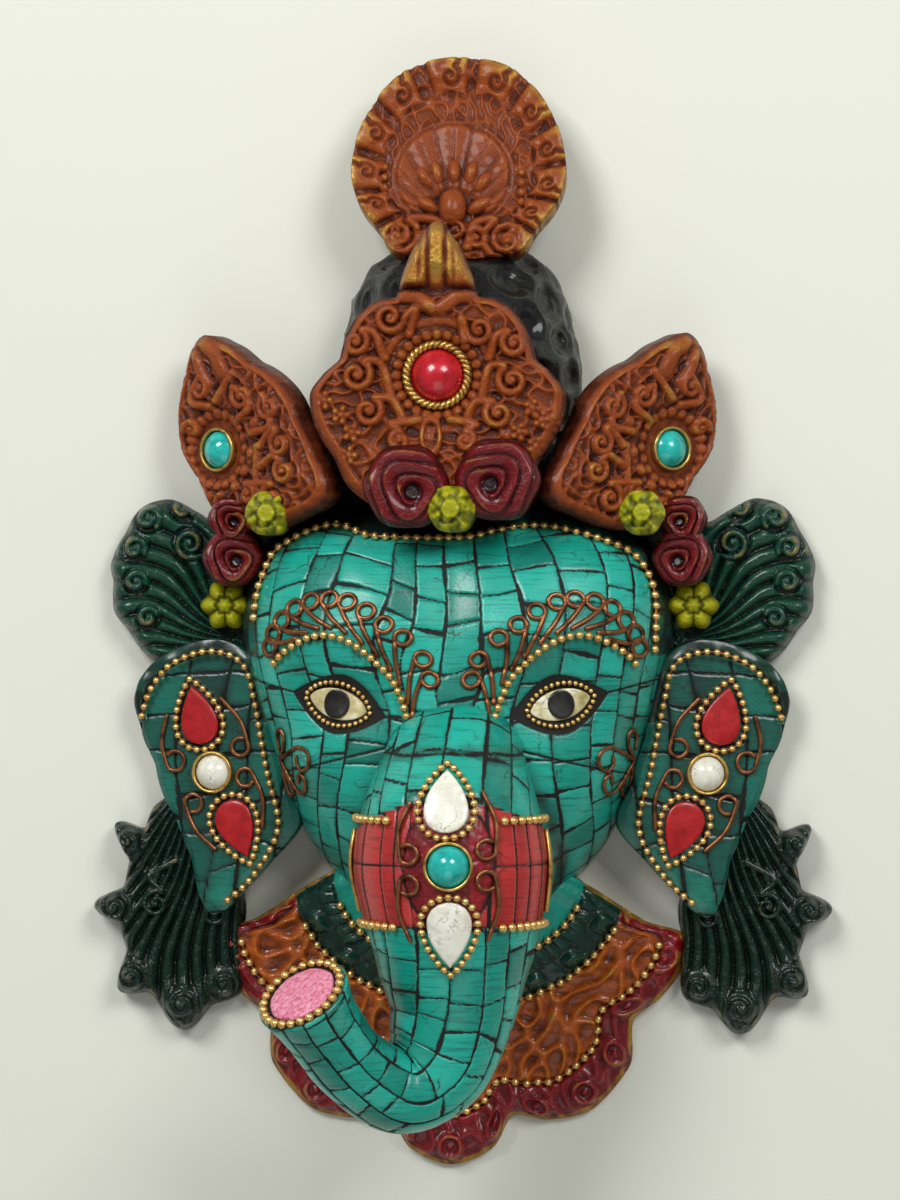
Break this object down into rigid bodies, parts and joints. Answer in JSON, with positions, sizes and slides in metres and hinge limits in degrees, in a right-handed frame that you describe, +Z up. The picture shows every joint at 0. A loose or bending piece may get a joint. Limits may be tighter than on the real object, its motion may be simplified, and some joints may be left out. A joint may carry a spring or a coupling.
{
  "type": "wall mask",
  "caption": "Hollow cast wall mask of an elephant-headed deity with a crown, a trunk that curls to one side, ears and collar, set with stones, bead chains and bent wire.",
  "frame": {"origin": "on the surface it lies on, under the middle of the mask", "axes": "+Z up, out of the mask's face; +Y toward the crown; +X toward the viewer's right"},
  "size_m": [0.2154, 0.3288, 0.0979],
  "materials": {
    "cast_brass": "cast, painted and antiqued, worn to metal at the edges",
    "bezel_brass": "polished",
    "bead_brass": "polished",
    "copper_wire": "dark, oxidised",
    "coral_stone": "polished",
    "white_stone": "polished",
    "turquoise_stone": "polished",
    "pink_stone": "granular",
    "black_stone": "polished"
  },
  "bodies": {
    "root": {"cast_mask": "cast_brass", "collar_inner_beads": "bead_brass", "collar_middle_beads": "bead_brass", "collar_outer_beads": "bead_brass", "crown_bezel": "bezel_brass", "crown_stone": "coral_stone", "forehead_beads": "bead_brass", "left_brow_beads": "bead_brass", "left_brow_wire": "copper_wire", "left_ear_bead_chain": "bead_brass", "left_ear_bezel": "bezel_brass", "left_ear_inner_lower_scroll": "copper_wire", "left_ear_inner_upper_scroll": "copper_wire", "left_ear_lower_tear": "coral_stone", "left_ear_lower_tear_beads": "bead_brass", "left_ear_outer_lower_scroll": "copper_wire", "left_ear_outer_upper_scroll": "copper_wire", "left_ear_stone": "white_stone", "left_ear_upper_tear": "coral_stone", "left_ear_upper_tear_beads": "bead_brass", "left_eye_white": "white_stone", "left_leaf_bezel": "bezel_brass", "left_leaf_stone": "turquoise_stone", "left_pupil": "black_stone", "right_brow_beads": "bead_brass", "right_brow_wire": "copper_wire", "right_ear_bead_chain": "bead_brass", "right_ear_bezel": "bezel_brass", "right_ear_inner_lower_scroll": "copper_wire", "right_ear_inner_upper_scroll": "copper_wire", "right_ear_lower_tear": "coral_stone", "right_ear_lower_tear_beads": "bead_brass", "right_ear_outer_lower_scroll": "copper_wire", "right_ear_outer_upper_scroll": "copper_wire", "right_ear_stone": "white_stone", "right_ear_upper_tear": "coral_stone", "right_ear_upper_tear_beads": "bead_brass", "right_eye_white": "white_stone", "right_leaf_bezel": "bezel_brass", "right_leaf_stone": "turquoise_stone", "right_pupil": "black_stone", "trunk_bezel": "bezel_brass", "trunk_left_band_plate": "bezel_brass", "trunk_lower_left_band_beads": "bead_brass", "trunk_lower_left_scroll": "copper_wire", "trunk_lower_right_band_beads": "bead_brass", "trunk_lower_right_scroll": "copper_wire", "trunk_lower_tear": "white_stone", "trunk_lower_tear_beads": "bead_brass", "trunk_right_band_plate": "bezel_brass", "trunk_stone": "turquoise_stone", "trunk_tip_beads": "bead_brass", "trunk_tip_stone": "pink_stone", "trunk_upper_left_band_beads": "bead_brass", "trunk_upper_left_scroll": "copper_wire", "trunk_upper_right_band_beads": "bead_brass", "trunk_upper_right_scroll": "copper_wire", "trunk_upper_tear": "white_stone", "trunk_upper_tear_beads": "bead_brass"}
  },
  "joints": []
}
